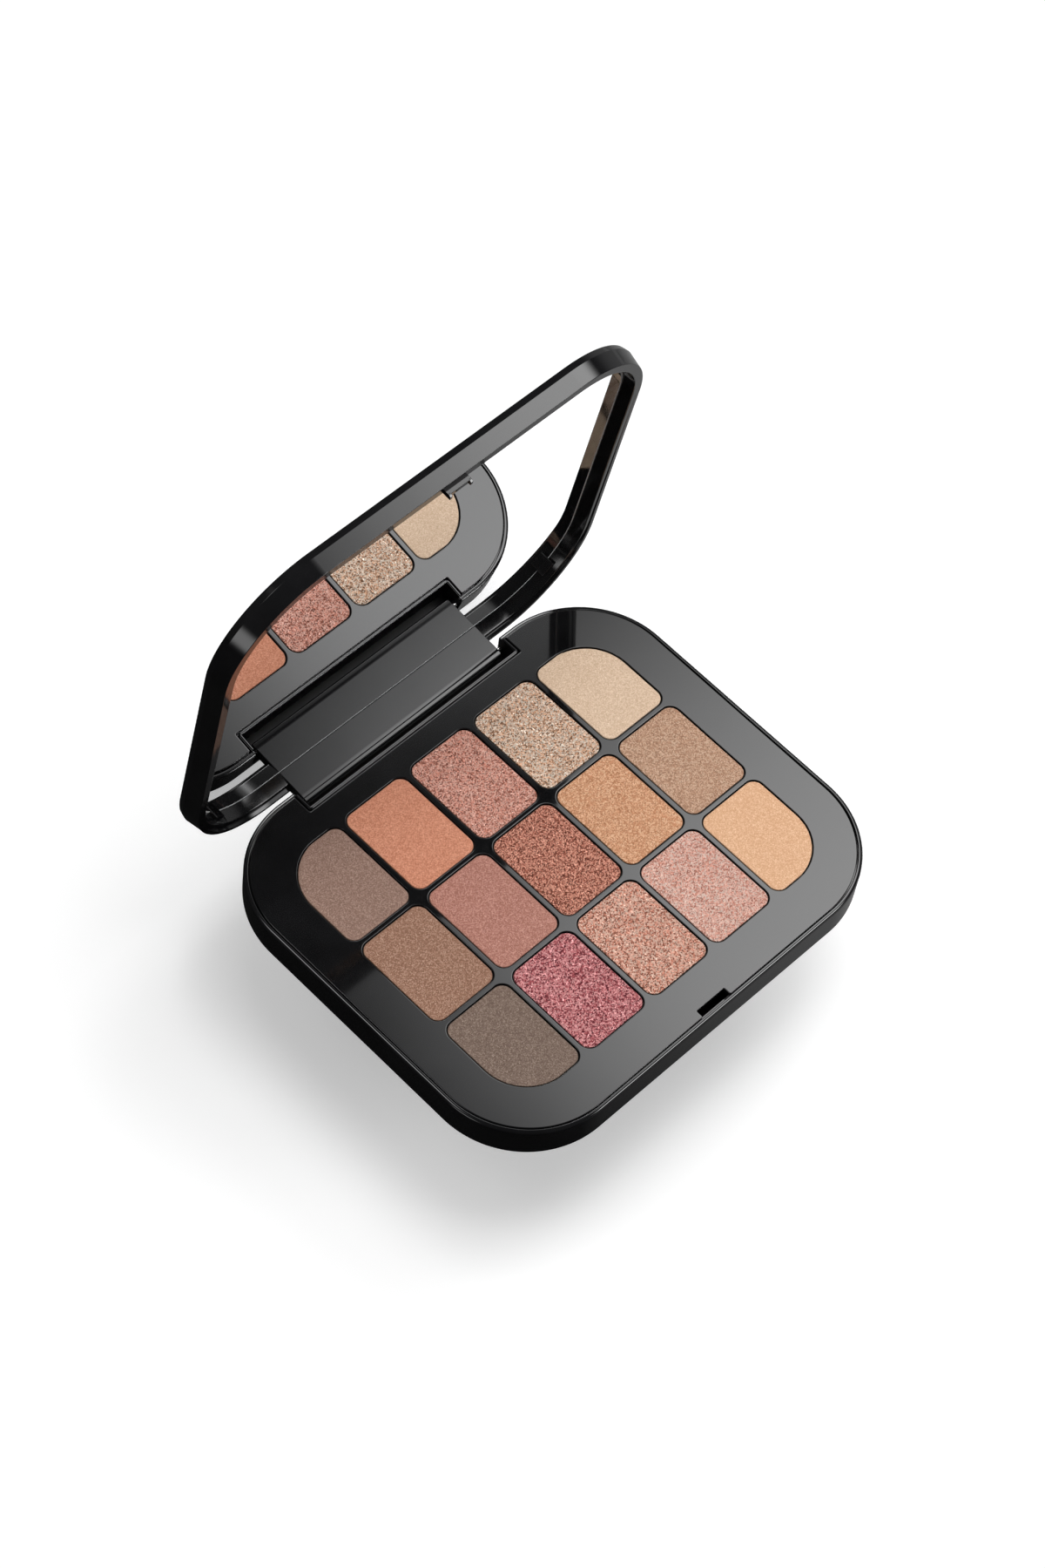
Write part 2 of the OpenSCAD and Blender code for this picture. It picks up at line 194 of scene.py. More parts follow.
@dataclass
class Plan:
    """Collects points and faces in millimetres and turns them into one object."""

    name: str
    place: Place | None = None
    _points: list[Array] = field(default_factory=list)
    _faces: list[list[int]] = field(default_factory=list)
    _count: int = 0

    def add(self, points: Array, faces: Iterable[Sequence[int]]) -> None:
        """Add points (n, 3) and faces that index them."""
        self._points.append(points)
        self._faces.extend([[int(i) + self._count for i in f] for f in faces])
        self._count += len(points)

    def sweep(self, outline: Outline, lines: Array, start_cap: bool = True,
              end_cap: bool = True, turn: Place | None = None) -> None:
        """Carry an (inset, height) line round an outline.

        Point (i, j) is outline point i moved in by inset j along its normal, at height j. The
        line runs up the outside and down the inside, so that faces point outwards.

        Args:
            outline: The loop.
            lines: (m, 2) for one line all round, or (n, m, 2) for a line at each point.
            start_cap: Close the first ring, facing down.
            end_cap: Close the last ring, facing up.
            turn: Maps the (outline a, outline b, height) points to x, y, z.
        """
        n = len(outline.points)
        if lines.ndim == 2:
            lines = np.broadcast_to(lines, (n,) + lines.shape)
        m = lines.shape[1]
        grid = np.empty((n, m, 3))
        grid[..., :2] = outline.points[:, None] - lines[..., :1] * outline.normals[:, None]
        grid[..., 2] = lines[..., 1]
        flat = grid.reshape(-1, 3)
        faces = grid_faces(n, m, loop=True).tolist()
        ring = np.arange(n) * m
        if start_cap:
            faces.append(ring[::-1].tolist())
        if end_cap:
            faces.append((ring + m - 1).tolist())
        self.add(flat if turn is None else turn(flat), faces)

    def rail(self, path: Array, normals: Array, section: Array,
             drop: Array) -> None:
        """Carry a closed (offset, height) section along an open path and cap both ends.

        Args:
            path: (n, 2) points seen from above.
            normals: (n, 2) unit normals to the right of travel.
            section: (m, 2) loop that starts low on the normal's side and goes up.
            drop: (n,) how far the section's top is pressed down at each point of the path.
        """
        n, m = len(path), len(section)
        grid = np.empty((n, m, 3))
        grid[..., :2] = path[:, None] + section[:, :1] * normals[:, None]
        low, high = section[:, 1].min(), section[:, 1].max()
        share = (section[:, 1] - low) / (high - low)
        grid[..., 2] = section[:, 1] - drop[:, None] * share
        caps = [list(range(m)), list(range(n * m - 1, (n - 1) * m - 1, -1))]
        self.add(grid.reshape(-1, 3), grid_faces(n, m, tube=True).tolist() + caps)

    def sheet_with_holes(self, outer: Array, holes: Sequence[Array], height: float,
                         up: bool) -> None:
        """Fill a flat face between an outer loop and its holes.

        Delaunay triangles over all the loops are kept where their middle is inside the outer
        loop and outside every hole, by the even-odd rule along a ray.
        """
        loops = [outer, *holes]
        verts, edges, start = [], [], 0
        for loop in loops:
            verts.extend(Vector(p) for p in loop)
            edges.extend((start + a, start + (a + 1) % len(loop)) for a in range(len(loop)))
            start += len(loop)
        made, _, tris, *_ = delaunay_2d_cdt(verts, edges, [], 0, 1e-7)
        pts = np.array([(v.x, v.y) for v in made])
        tri = np.array(tris)
        mid = pts[tri].mean(1)
        inside = np.zeros(len(mid), int)
        for loop in loops:
            a, b = loop, np.roll(loop, -1, 0)
            above = (a[:, 1] > mid[:, 1:2]) != (b[:, 1] > mid[:, 1:2])
            rise = np.where(b[:, 1] == a[:, 1], 1e-12, b[:, 1] - a[:, 1])
            cross = a[:, 0] + (mid[:, 1:2] - a[:, 1]) * (b[:, 0] - a[:, 0]) / rise
            inside += (above & (cross > mid[:, :1])).sum(1) % 2
        tri = tri[inside == 1][:, ::1 if up else -1]
        self.add(np.column_stack([pts, np.full(len(pts), height)]), tri.tolist())

    def build(self, sharp: float) -> Object:
        """Make the object: doubles merged and smooth shading.

        Args:
            sharp: Angle in degrees past which an edge stays sharp.

        Returns:
            The object, at the origin.
        """
        points = np.concatenate(self._points)
        if self.place is not None:
            points = self.place(points)
        mesh = bpy.data.meshes.new(self.name)
        mesh.from_pydata((points * MM).tolist(), [], self._faces)
        bm = bmesh.new()
        bm.from_mesh(mesh)
        bmesh.ops.remove_doubles(bm, verts=bm.verts, dist=2e-6)
        bmesh.ops.dissolve_degenerate(bm, edges=bm.edges, dist=1e-6)
        bm.to_mesh(mesh)
        bm.free()
        mesh.shade_smooth()
        mesh.set_sharp_from_angle(angle=math.radians(sharp))
        return into_scene(self.name, mesh)


def value_noise(rng: np.random.Generator, x: Array, y: Array, size: float) -> Array:
    """Smooth noise of a given grain: random lattice values mixed by 3f^2 - 2f^3."""
    u, v = (x - x.min()) / size, (y - y.min()) / size
    lattice = rng.standard_normal((int(v.max()) + 2, int(u.max()) + 2))
    i, j = u.astype(int), v.astype(int)
    f, g = u - i, v - j
    f, g = f * f * (3 - 2 * f), g * g * (3 - 2 * g)
    low = lattice[j, i] * (1 - f) + lattice[j, i + 1] * f
    high = lattice[j + 1, i] * (1 - f) + lattice[j + 1, i + 1] * f
    return low * (1 - g) + high * g


# ---- materials


def linear(r: float, g: float, b: float) -> Colour:
    """A colour of 0 to 255 as linear light."""
    return tuple(c / 12.92 if c <= 0.04045 else ((c + 0.055) / 1.055) ** 2.4
                 for c in (r / 255, g / 255, b / 255))


def toned(colour: Colour, share: float, lift: float = 0.0) -> Colour:
    """A colour made darker or lighter."""
    return tuple(c * share + lift for c in colour)


class Nodes:
    """Short way to lay nodes in a tree."""

    def __init__(self, tree: NodeTree) -> None:
        """Start on a tree."""
        self.tree = tree

    @classmethod
    def on(cls, owner: ID) -> "Nodes":
        """Empty the tree of a material, lamp or world and start on it."""
        owner.use_nodes = True
        owner.node_tree.nodes.clear()
        return cls(owner.node_tree)

    def fill(self, node: Node, **inputs: object) -> Node:
        """Give a node's inputs their values.

        Args:
            node: The node.
            **inputs: Input name (spaces as _) or i0, i1 for a place, to a value or a socket.

        Returns:
            The node.
        """
        for key, value in inputs.items():
            place = int(key[1:]) if key[0] == "i" and key[1:].isdigit() else key.replace("_", " ")
            socket = node.inputs[place]
            if isinstance(value, Socket):
                self.tree.links.new(value, socket)
            else:
                socket.default_value = (*value, 1.0) if socket.type == "RGBA" else value
        return node

    def add(self, kind: str, settings: dict | None = None, **inputs: object) -> Node:
        """Add a node.

        Args:
            kind: Node type without its ShaderNode prefix.
            settings: Properties to set on the node.
            **inputs: As for fill.

        Returns:
            The node.
        """
        node = self.tree.nodes.new(kind if kind.startswith("Node") else "ShaderNode" + kind)
        for key, value in (settings or {}).items():
            setattr(node, key, value)
        return self.fill(node, **inputs)

    def group(self, name: str, **inputs: object) -> Sockets:
        """The outputs of a node group."""
        return self.add("Group", {"node_tree": bpy.data.node_groups[name]}, **inputs).outputs

    def math(self, op: str, a: object, b: object) -> Socket:
        """A Math node's output."""
        return self.add("Math", {"operation": op}, i0=a, i1=b).outputs[0]

    def vector(self, op: str, a: object, b: object = (0.0, 0.0, 0.0)) -> Socket:
        """A Vector Math node's output; SCALE takes a number as b."""
        second = {"Scale" if op == "SCALE" else "i1": b}
        node = self.add("VectorMath", {"operation": op}, i0=a, **second)
        return node.outputs["Value" if op in ("LENGTH", "DOT_PRODUCT") else "Vector"]

    def span(self, value: object, low: float, high: float, to_low: float = 0.0,
             to_high: float = 1.0) -> Socket:
        """A Map Range node's output."""
        return self.add("MapRange", Value=value, From_Min=low, From_Max=high,
                        To_Min=to_low, To_Max=to_high).outputs[0]

    def blend(self, factor: object, a: object, b: object) -> Socket:
        """A colour Mix node's output."""
        return self.add("Mix", {"data_type": "RGBA"}, i0=factor, i6=a, i7=b).outputs[2]

    def mix(self, factor: object, a: Socket, b: Socket) -> Socket:
        """A Mix Shader node's output."""
        return self.add("MixShader", i0=factor, i1=a, i2=b).outputs[0]

    def white(self, kind: str, strength: object) -> Socket:
        """A white Emission or Background of a given strength."""
        return self.add(kind, Color=(1, 1, 1), Strength=strength).outputs[0]

    def per_metre(self, size: object) -> Socket:
        """The texture scale whose grain has a size in millimetres."""
        return self.math("DIVIDE", 1 / MM, size)

    def noise(self, where: Socket, size: object, detail: float, rough: float = 0.5) -> Socket:
        """Noise with a grain of a size in millimetres."""
        return self.add("TexNoise", Vector=where, Scale=self.per_metre(size), Detail=detail,
                        Roughness=rough).outputs["Fac"]


def new_group(name: str, inputs: dict[str, float],
              outputs: Sequence[str]) -> tuple[Nodes, Sockets, Node]:
    """Start a shader node group.

    Args:
        name: Its name.
        inputs: Input names and their usual values, all plain numbers.
        outputs: Output names: numbers, but for Normal, which is a vector.

    Returns:
        The laying helper, the inner input sockets and the node that takes the outputs.
    """
    tree = bpy.data.node_groups.new(name, "ShaderNodeTree")
    for key, value in inputs.items():
        socket = tree.interface.new_socket(key, in_out="INPUT", socket_type="NodeSocketFloat")
        socket.default_value = value
    for key in outputs:
        kind = "NodeSocketVector" if key == "Normal" else "NodeSocketFloat"
        tree.interface.new_socket(key, in_out="OUTPUT", socket_type=kind)
    lay = Nodes(tree)
    return lay, lay.add("NodeGroupInput").outputs, lay.add("NodeGroupOutput")


def make_flake_group() -> None:
    """Glitter: each small cell is a flake with its own tilt, shade and glint.

    Cells are Voronoi cells in object space, with sides bent by fine noise. The normal is the
    surface normal plus the cell's random direction times the tilt, made unit length again.
    """
    bend, bend_scale = 0.00025, 2600.0
    lay, given, end = new_group("flakes", {"Flake Size": 0.35, "Tilt": 0.5, "Glint Share": 0.2},
                                ("Random", "Glint", "Normal"))

    def offset(colour: Socket, size: object) -> Socket:
        """A random colour as an offset either way."""
        return lay.vector("SCALE", lay.vector("SUBTRACT", colour, (0.5, 0.5, 0.5)), size)

    coord = lay.add("TexCoord").outputs["Object"]
    warp = lay.add("TexNoise", Vector=coord, Scale=bend_scale, Detail=1.0).outputs["Color"]
    cells = lay.add("TexVoronoi", {"feature": "F1"}, Scale=lay.per_metre(given["Flake Size"]),
                    Vector=lay.vector("ADD", coord, offset(warp, bend))).outputs["Color"]
    parts = lay.add("SeparateColor", Color=cells).outputs
    leaning = lay.vector("ADD", lay.add("NewGeometry").outputs["Normal"],
                         offset(cells, given["Tilt"]))
    dull = lay.math("SUBTRACT", 1.0, given["Glint Share"])
    lay.fill(end, Random=parts[0], Glint=lay.math("GREATER_THAN", parts[1], dull),
             Normal=lay.vector("NORMALIZE", leaning))


def make_grain_group() -> None:
    """Pressed powder grain: fine speckle over slow cloudiness, and a height for a bump."""
    cloud_height = 0.4
    lay, given, end = new_group("powder_grain", {"Grain Size": 0.18, "Cloud Size": 5.0},
                                ("Speckle", "Cloud", "Height"))
    coord = lay.add("TexCoord").outputs["Object"]
    fine = lay.noise(coord, given["Grain Size"], 2.0, 0.6)
    slow = lay.noise(coord, given["Cloud Size"], 3.0, 0.55)
    lay.fill(end, Speckle=lay.span(fine, 0.25, 0.75), Cloud=lay.span(slow, 0.3, 0.7),
             Height=lay.math("ADD", fine, lay.math("MULTIPLY", slow, cloud_height)))


def make_handling_group() -> None:
    """Moulded plastic seen close: soft handling haze, hairline scuffs and a faint ripple."""
    lay, given, end = new_group("handling", {"Haze Size": 14.0, "Ripple Size": 9.0},
                                ("Haze", "Scuff", "Ripple"))
    coord = lay.add("TexCoord").outputs["Object"]
    haze = lay.noise(coord, given["Haze Size"], 4.0, 0.6)
    hairline = lay.add("Mapping", Vector=coord, Rotation=(0.3, 0.2, 0.7),
                       Scale=(60.0, 1400.0, 300.0)).outputs[0]
    hair = lay.add("TexNoise", Vector=hairline, Scale=1.0, Detail=1.0).outputs["Fac"]
    lay.fill(end, Haze=lay.span(haze, 0.35, 0.7), Scuff=lay.span(hair, 0.68, 0.78),
             Ripple=lay.noise(coord, given["Ripple Size"], 0.0))


class Look:
    """What a material of one Principled shader is made from."""

    def inputs(self, lay: Nodes) -> dict[str, object]:
        """Lay the nodes and give the shader's inputs by name, spaces as _."""
        raise NotImplementedError

    def make(self, name: str) -> Material:
        """The material."""
        material = bpy.data.materials.new(name)
        lay = Nodes.on(material)
        lay.add("OutputMaterial", Surface=lay.add("BsdfPrincipled", **self.inputs(lay)).outputs[0])
        return material


@dataclass(frozen=True)
class Finish(Look):
    """A surface finish of one colour."""

    colour: Colour

    def clouded(self, lay: Nodes, factor: Socket, share: float, lift: float = 0.0) -> Socket:
        """The colour, toned by a share where the factor is high."""
        return lay.blend(factor, self.colour, toned(self.colour, share, lift))


@dataclass(frozen=True)
class MouldedPlastic(Finish):
    """Black moulded plastic."""

    gloss: float
    haze: float
    specular: float
    ripple: float = 0.02
    scuff: ClassVar[float] = 0.05
    ripple_height: ClassVar[float] = 0.0004

    def inputs(self, lay: Nodes) -> dict[str, object]:
        """Roughness follows haze and scuffs; the normal follows the ripple."""
        wear = lay.group("handling")
        rough = lay.math("ADD", lay.math("MULTIPLY", wear["Haze"], self.haze),
                         lay.math("MULTIPLY", wear["Scuff"], self.scuff))
        bump = lay.add("Bump", Strength=self.ripple, Distance=self.ripple_height,
                       Height=wear["Ripple"])
        return dict(Base_Color=self.clouded(lay, wear["Haze"], 1.5, 0.002),
                    Roughness=lay.math("ADD", rough, self.gloss), Normal=bump.outputs[0],
                    Specular_IOR_Level=self.specular)


@dataclass(frozen=True)
class Metal(Finish):
    """Bare metal: thin pressed pans or drawn pins."""

    roughness: float
    spread: ClassVar[float] = 0.12

    def inputs(self, lay: Nodes) -> dict[str, object]:
        """A cloudy tint, rougher where it is darker."""
        haze = lay.group("handling", Haze_Size=3.0)["Haze"]
        rough = lay.span(haze, 0.0, 1.0, self.roughness, self.roughness + self.spread)
        return dict(Base_Color=self.clouded(lay, haze, 0.8), Roughness=rough, Metallic=1.0)


@dataclass(frozen=True)
class Silvering(Finish):
    """The mirror."""

    def inputs(self, lay: Nodes) -> dict[str, object]:
        """A perfect mirror with the faintest change of tint."""
        haze = lay.group("handling", Haze_Size=30.0)["Haze"]
        return dict(Base_Color=self.clouded(lay, haze, 0.985), Metallic=1.0, Roughness=0.0)


@dataclass(frozen=True)
class Milky(Finish):
    """Pale and matt: ground glass, or the double-sided adhesive behind the mirror."""

    def inputs(self, lay: Nodes) -> dict[str, object]:
        """Matt, with fine fibres."""
        speckle = lay.group("powder_grain", Grain_Size=0.6)["Speckle"]
        dark = toned(self.colour, 0.85)
        return dict(Base_Color=lay.blend(speckle, dark, self.colour), Roughness=0.7)


class Press(Enum):
    """Kinds of pressed powder."""

    MATTE = "matte"
    SATIN = "satin"
    SHIMMER = "shimmer"
    METALLIC = "metallic"
    GLITTER = "glitter"


@dataclass(frozen=True)
class PressLook:
    """Numbers that make one kind of pressed powder.

    flake is the flake size in mm, tilt how far flakes lean, share how many glint, metal how
    metallic they are, spread how much dark and light they mix, roughness that of the powder
    between glints, relief the surface height in mm.
    """

    flake: float
    tilt: float
    share: float
    metal: float
    spread: float
    roughness: float
    relief: float


LOOKS = {
    Press.MATTE: PressLook(0.20, 0.12, 0.03, 0.0, 0.52, 0.95, 0.006),
    Press.SATIN: PressLook(0.21, 0.30, 0.06, 0.08, 0.55, 0.75, 0.006),
    Press.SHIMMER: PressLook(0.22, 0.60, 0.12, 0.30, 0.85, 0.50, 0.010),
    Press.METALLIC: PressLook(0.24, 0.85, 0.18, 0.45, 1.00, 0.42, 0.016),
    Press.GLITTER: PressLook(0.26, 0.95, 0.20, 0.50, 1.00, 0.40, 0.022),
}


@dataclass(frozen=True)
class Shade(Look):
    """One pressed shade: its body colour, and the colours of its shadows and glints."""

    press: Press
    body: Colour
    deep: Colour
    glow: Colour
    speckled: ClassVar[float] = 0.38
    clouded: ClassVar[float] = 0.12
    grain_height: ClassVar[float] = 0.00006
    specular: ClassVar[float] = 0.3

    def inputs(self, lay: Nodes) -> dict[str, object]:
        """Powder body mixed with flakes that each have their own tilt and tone.

        A flake's random value below a half takes the body towards the deep colour, a painted
        shade, and above a half towards the glow colour, a painted highlight; the powder's own mix
        of colours is in this spread too. Glints, painted highlights, take it the whole way.
        """
        look = LOOKS[self.press]
        grain = lay.group("powder_grain", Grain_Size=0.10 + look.flake * 0.4)
        flake = lay.group("flakes", Flake_Size=look.flake, Tilt=look.tilt, Glint_Share=look.share)
        body, deep, glow = linear(*self.body), linear(*self.deep), linear(*self.glow)
        tone, glint = flake["Random"], flake["Glint"]
        speck = lay.blend(lay.math("MULTIPLY", grain["Speckle"], self.speckled), body, deep)
        dark = lay.blend(lay.span(tone, 0.5, 0.0, 0.0, look.spread), speck, deep)
        light = lay.blend(lay.span(tone, 0.5, 1.0, 0.0, look.spread), dark, glow)
        cloud = lay.blend(lay.span(grain["Cloud"], 0.0, 1.0, 0.0, self.clouded), light, deep)
        bump = lay.add("Bump", Strength=0.5, Distance=self.grain_height, Height=grain["Height"],
                       Normal=flake["Normal"])
        # Glints: the glow colour painted into the base colour of random flakes, a painted
        # highlight.
        return dict(
            Base_Color=lay.blend(lay.math("MULTIPLY", glint, look.spread), cloud, glow),
            Metallic=lay.math("MULTIPLY", lay.span(tone, 0.0, 1.0, 0.6, 1.0), look.metal),
            Roughness=lay.span(glint, 0.0, 1.0, look.roughness, look.roughness * 0.7),
            Normal=bump.outputs[0], Specular_IOR_Level=self.specular)


SHADES: dict[str, tuple[Shade, ...]] = {
    "front": (
        Shade(Press.MATTE, (120, 101, 91), (95, 79, 68), (168, 150, 136)),
        Shade(Press.GLITTER, (183, 89, 93), (92, 36, 46), (250, 178, 178)),
        Shade(Press.GLITTER, (231, 154, 130), (120, 70, 52), (255, 216, 196)),
        Shade(Press.METALLIC, (235, 168, 148), (168, 112, 98), (252, 222, 208)),
        Shade(Press.MATTE, (221, 175, 139), (200, 150, 112), (250, 216, 182)),
    ),
    "middle": (
        Shade(Press.SATIN, (154, 114, 93), (124, 90, 72), (198, 164, 144)),
        Shade(Press.SATIN, (178, 123, 108), (146, 96, 84), (214, 166, 152)),
        Shade(Press.METALLIC, (171, 96, 76), (84, 42, 32), (246, 178, 154)),
        Shade(Press.SHIMMER, (211, 150, 112), (172, 116, 80), (245, 204, 168)),
        Shade(Press.SHIMMER, (192, 148, 120), (150, 112, 88), (230, 198, 172)),
    ),
    "back": (
        Shade(Press.MATTE, (149, 119, 106), (114, 90, 78), (184, 158, 144)),
        Shade(Press.SATIN, (214, 145, 115), (174, 106, 80), (236, 176, 148)),
        Shade(Press.METALLIC, (225, 147, 125), (108, 58, 46), (246, 196, 180)),
        Shade(Press.GLITTER, (240, 186, 150), (112, 80, 56), (255, 238, 220)),
        Shade(Press.MATTE, (222, 194, 167), (190, 160, 132), (244, 224, 202)),
    ),
}


# ---- the palette


@dataclass
class CaseSizes:
    """Sizes that the base, tray and lid share, in millimetres."""

    width: float = 121.4
    depth: float = 103.1
    corner: float = 24.0
    base_h: float = 9.3
    base_wall: float = 1.1
    ledge_z: float = 7.8
    tray_z: float = 9.1
    notch_half: float = 32.0
    notch_d: float = 5.45
    notch_wall: float = 0.8
    tray_gap: float = 0.25
    rim_dip: float = 0.9
    dip_from: float = 5.0
    sill_z: float = 2.9
    pocket_half: float = 4.3
    pocket_d: float = 2.2
    lid_z: float = 9.7
    lid_top: float = 15.5
    mirror_z: float = 13.0
    glue_z: float = 14.1
    plate_z: float = 14.3
    hinge_y: float = 50.3
    hinge_z: float = 5.2
    open_deg: float = 83.1
    col_pitch: float = 20.0
    row_pitch: float = 26.7
    grid_shift: float = 0.4
    cake_w: float = 18.2
    cake_d: float = 25.0
    cake_r: float = 2.6
    cake_big_r: float = 11.8

    def outline(self, inset: float = 0.0) -> Outline:
        """The case outline drawn in."""
        r = self.corner - inset
        return Outline.box(self.width - 2 * inset, self.depth - 2 * inset, [r] * 4, steps=40)

    def cell(self, col: int, row: int, grow: float) -> Outline:
        """Outline of one shade, grown."""
        return Outline.box(self.cake_w + 2 * grow, self.cake_d + 2 * grow,
                           [r + grow for r in self.radii(col, row)], self.cell_centre(col, row))

    def cell_centre(self, col: int, row: int) -> tuple[float, float]:
        """Middle of one shade."""
        return ((col - 2) * self.col_pitch, (row - 1) * self.row_pitch - self.grid_shift)

    def radii(self, col: int, row: int) -> list[float]:
        """Corner radii of one shade: the corner of the case side is large."""
        big = {(0, 0): 0, (4, 0): 1, (4, 2): 2, (0, 2): 3}.get((col, row))
        return [self.cake_big_r if k == big else self.cake_r for k in range(4)]

    def dip(self, y: Array) -> Array:
        """How much lower both rims run at each y: none up to dip_from, then growing."""
        back = self.depth / 2
        return self.rim_dip * np.interp(y, [self.dip_from, 0.6 * back, back], [0.0, 0.35, 1.0])

    def swing(self, points: Array) -> Array:
        """Turn closed-lid points about the hinge line by the open angle."""
        a = math.radians(-self.open_deg)
        y, z = points[:, 1] - self.hinge_y, points[:, 2] - self.hinge_z
        return np.stack([points[:, 0], self.hinge_y + y * math.cos(a) - z * math.sin(a),
                         self.hinge_z + y * math.sin(a) + z * math.cos(a)], 1)


def along_x(x0: float) -> Place:
    """Place a sweep whose outline is (y, z) and whose height runs along x from x0."""
    return lambda p: np.stack([x0 + p[:, 2], p[:, 0], p[:, 1]], 1)


def dress(obj: Object, material: Material, body: str, slot: str,
          *nodes: str) -> Object:
    """Give a piece its finish and body, and hide the nodes that it stands for."""
    obj.data.materials.clear()
    obj.data.materials.append(material)
    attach(obj, body)
    if nodes:
        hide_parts(*nodes)
    log.info("%s: %d faces on %s", obj.name, len(obj.data.polygons), body)
    return obj


@dataclass
class BaseCase:
    """Lower shell with its rim, hinge notch and latch pocket.

    under_in is where the underside's line starts, ear_gap what the hinge block leaves free
    before the corners, pocket_drop the depth of the pocket below the lid's rim. crest and bend
    are the radii of the notch wall, on top and seen from above.
    """

    sizes: CaseSizes
    finish: Material
    frosted: Material
    floor_z: float = 1.4
    ledge_w: float = 0.9
    lower_round: float = 0.9
    rim_round: float = 0.85
    inner_round: float = 0.2
    under_in: float = 8.0
    ear_gap: float = 0.4
    pocket_drop: float = 2.7
    crest: float = 0.34
    bend: float = 0.45
    long_run: ClassVar[float] = 20.0

    def build(self) -> None:
        """One line carried round the outline, clipped down at the notch and the pocket.

        All places share one line with the same count of points. In the notch its heights are
        min(height, sill); outside the hinge block its ledge is drawn back to the wall. Towards
        the back the wall above the ledge is pressed down by the dip of the rim.
        """
        s = self.sizes
        wall, ledge, into = s.base_wall, s.ledge_z, s.notch_wall / 2
        cut, start = s.notch_half + into, s.notch_d + into
        deep = s.notch_d + s.notch_wall + s.tray_gap + self.ledge_w
        line = profile([(self.under_in, 0, 0), (0, 0, self.lower_round), (0, s.sill_z, 0),
                        (0, s.base_h, self.rim_round), (wall, s.base_h, self.inner_round),
                        (wall, ledge, 0), (start, ledge, 0)], 8)
        line = np.concatenate([line, [(start, ledge), (deep, ledge), (deep, self.floor_z)]])
        inset, height = line.T
        sill = int(np.argmin(np.abs(inset) + np.abs(height - s.sill_z)))
        past = np.arange(len(line)) > sill
        notch, plain = line.copy(), line.copy()
        notch[sill:-3, 1] = s.sill_z
        plain[past & (inset > wall + self.ledge_w), 0] = wall + self.ledge_w
        pocket = plain.copy()
        low = past & (height <= ledge + TINY) & (height > self.floor_z)
        pocket[low, 1] = s.lid_z - self.pocket_drop
        outline = s.outline()
        ear, catch = s.width / 2 - s.corner - self.ear_gap, s.pocket_half
        xy, kinds, nrm = [], [], []
        for p, q, n in zip(outline.points, np.roll(outline.points, -1, 0), outline.normals):
            stops: list[tuple[float, int, int]] = []
            if abs(q[0] - p[0]) > self.long_run:
                stops = ([(ear, 0, 1), (cut, 1, 2), (-cut, 2, 1), (-ear, 1, 0)] if n[1] > 0
                         else [(-catch, 0, 3), (catch, 3, 0)])
            places = [(p[0], 0)] + [(x, kind) for x, *pair in stops for kind in pair]
            xy += [(x, p[1]) for x, _ in places]
            kinds += [kind for _, kind in places]
            nrm += [n] * len(places)
        lines = np.stack([plain, line, notch, pocket])[np.array(kinds)]
        share = np.clip((lines[..., 1] - ledge) / (s.base_h - ledge), 0, 1)
        lines[..., 1] -= share * s.dip(np.array(xy)[:, 1])[:, None]
        plan = Plan("base_case")
        plan.sweep(Outline(np.array(xy), np.array(nrm)), lines)
        self.notch_rim(plan)
        self.frost(dress(plan.build(35), self.finish, "base", "case_gloss", "base_shell"))

    def frost(self, obj: Object) -> None:
        """Give the floor and the walls of the notch, below its rounded crest, a matt finish."""
        s, near, flat, edge = self.sizes, 0.05, 0.1, 0.5
        obj.data.materials.append(self.frosted)
        front, side = s.depth / 2 - s.notch_d - near, s.notch_half + near
        for face in obj.data.polygons:
            x, y, z = face.center / MM
            upright = abs(face.normal.z) < flat or z < s.sill_z + flat
            if abs(x) < side and y > front and edge < z < s.base_h - edge and upright:
                face.material_index = 1

    def notch_rim(self, plan: Plan) -> None:
        """The wall that carries the rim round the notch: a U seen from above, round on top.

        Its ends, inside the wall of the case, are pressed down with the rim.
        """
        s, half = self.sizes, self.sizes.notch_wall / 2
        side, back = s.notch_half + half, s.depth / 2 - s.base_wall / 2
        front, step = s.depth / 2 - s.notch_d - half, s.depth / 2 - s.base_wall
        level = step - 0.2
        left = [(-side, back, 0), (-side, step, 0), (-side, level, 0), (-side, front, self.bend)]
        right = [(-x, y, r) for x, y, r in reversed(left)]
        path, normals = fillet(left + right, False, 6)
        section = Outline.of([(half, s.sill_z, 0), (half, s.base_h, self.crest),
                              (-half, s.base_h, self.crest), (-half, s.sill_z, 0)], 8, 0.08)
        drop = np.where(path[:, 1] > (step + level) / 2, s.dip(path[:, 1]), 0.0)
        plan.rail(path, normals, section.points, drop)


